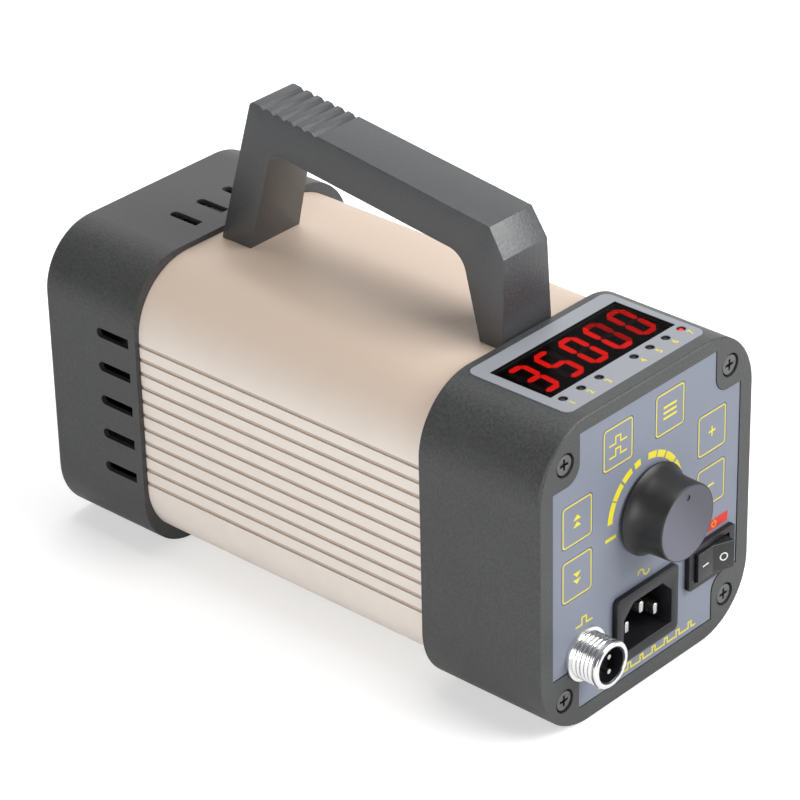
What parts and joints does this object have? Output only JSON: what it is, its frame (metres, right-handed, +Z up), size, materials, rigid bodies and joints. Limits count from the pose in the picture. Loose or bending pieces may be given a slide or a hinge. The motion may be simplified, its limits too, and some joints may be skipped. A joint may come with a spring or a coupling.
{
  "type": "xenon stroboscope",
  "caption": "Hand-held digital xenon flash stroboscope: ribbed tube between two moulded caps, carrying handle, key panel with knob, digital display and a round lamp window.",
  "frame": {"origin": "mouth of the tripod bush, on the plane that both caps rest on, below the middle of the body tube", "axes": "+X right as seen from the control panel, +Y along the tube towards the lamp, +Z up towards the handle"},
  "size_m": [0.102, 0.2239, 0.1555],
  "materials": {
    "ivory_paint": "satin powder coat on extruded aluminium",
    "grey_plastic": "fine moulded texture",
    "handle_plastic": "fine moulded texture",
    "dark_screw": "blackened steel",
    "steel": "zinc plated",
    "nickel": "bright plated",
    "brass": "machined",
    "panel_print": "printed film, satin",
    "key_print": "printed film, satin",
    "label_print": "printed film, satin",
    "filter_glass": "dark filter window",
    "digit_black": "black face with red segments",
    "indicator_plastic": "dark tinted dome",
    "circuit_board": "green solder mask",
    "black_plastic": "moulded",
    "gloss_black": "moulded",
    "knob_plastic": "soft black moulding",
    "knob_metal": "spun face, grey anodised",
    "clear_window": "clear polycarbonate",
    "bright_reflector": "bright spun aluminium",
    "lamp_ceramic": "white moulded lamp base",
    "tube_glass": "clear glass",
    "transformer_iron": "varnished laminations",
    "capacitor_sleeve": "shrink sleeve"
  },
  "bodies": {
    "housing": {"board_connector": "black_plastic", "body_tube": "ivory_paint", "control_cap": "grey_plastic", "digit_modules": "digit_black", "display_board": "circuit_board", "display_label": "label_print", "display_screws": "steel", "display_window": "filter_glass", "fuse": "tube_glass", "fuse_clips": "nickel", "handle": "handle_plastic", "handle_screws": "steel", "indicator_lamps": "indicator_plastic", "inlet_housing": "black_plastic", "inlet_pins": "nickel", "key_board": "circuit_board", "key_board_screws": "steel", "lamp_base": "lamp_ceramic", "lamp_cap": "grey_plastic", "lamp_leads": "nickel", "lamp_screws": "dark_screw", "lens_window": "clear_window", "main_board": "circuit_board", "mains_transformer": "transformer_iron", "panel_overlay": "panel_print", "panel_screws": "dark_screw", "pot_body": "steel", "pot_nut": "nickel", "reflector": "bright_reflector", "retainer_ring": "steel", "retainer_screws": "steel", "storage_capacitors": "capacitor_sleeve", "switch_housing": "black_plastic", "switch_terminals": "nickel", "tact_switches": "black_plastic", "trigger_insert": "black_plastic", "trigger_nut": "nickel", "trigger_pins": "nickel", "trigger_shell": "nickel", "trigger_transformer": "black_plastic", "trigger_wire": "nickel", "tripod_bush": "brass", "tripod_nut": "steel", "xenon_tube": "tube_glass"},
    "speed_knob": {"knob": "knob_plastic", "knob_inlay": "knob_metal", "pot_shaft": "steel"},
    "switch_rocker": {"rocker": "gloss_black"},
    "key_signal": {"key_signal": "key_print"},
    "key_mode": {"key_mode": "key_print"},
    "key_plus": {"key_plus": "key_print"},
    "key_minus": {"key_minus": "key_print"},
    "key_double": {"key_double": "key_print"},
    "key_half": {"key_half": "key_print"}
  },
  "joints": [
    {"name": "knob_turn", "type": "hinge", "parent": "housing", "child": "speed_knob", "pos_m": [0.0015, -0.1083, 0.0618], "axis": [0, -1, 0], "range_deg": [-135, 135]},
    {"name": "rocker_tilt", "type": "hinge", "parent": "housing", "child": "switch_rocker", "pos_m": [0.0305, -0.1065, 0.0307], "axis": [0, 0, 1], "range_deg": [0, 20]},
    {"name": "key_signal_press", "type": "slide", "parent": "housing", "child": "key_signal", "axis": [0, 1, 0], "range_m": [0, 0.0004], "stiffness_N_per_m": 1500, "springref_m": -0.0002},
    {"name": "key_mode_press", "type": "slide", "parent": "housing", "child": "key_mode", "axis": [0, 1, 0], "range_m": [0, 0.0004], "stiffness_N_per_m": 1500, "springref_m": -0.0002},
    {"name": "key_plus_press", "type": "slide", "parent": "housing", "child": "key_plus", "axis": [0, 1, 0], "range_m": [0, 0.0004], "stiffness_N_per_m": 1500, "springref_m": -0.0002},
    {"name": "key_minus_press", "type": "slide", "parent": "housing", "child": "key_minus", "axis": [0, 1, 0], "range_m": [0, 0.0004], "stiffness_N_per_m": 1500, "springref_m": -0.0002},
    {"name": "key_double_press", "type": "slide", "parent": "housing", "child": "key_double", "axis": [0, 1, 0], "range_m": [0, 0.0004], "stiffness_N_per_m": 1500, "springref_m": -0.0002},
    {"name": "key_half_press", "type": "slide", "parent": "housing", "child": "key_half", "axis": [0, 1, 0], "range_m": [0, 0.0004], "stiffness_N_per_m": 1500, "springref_m": -0.0002}
  ]
}
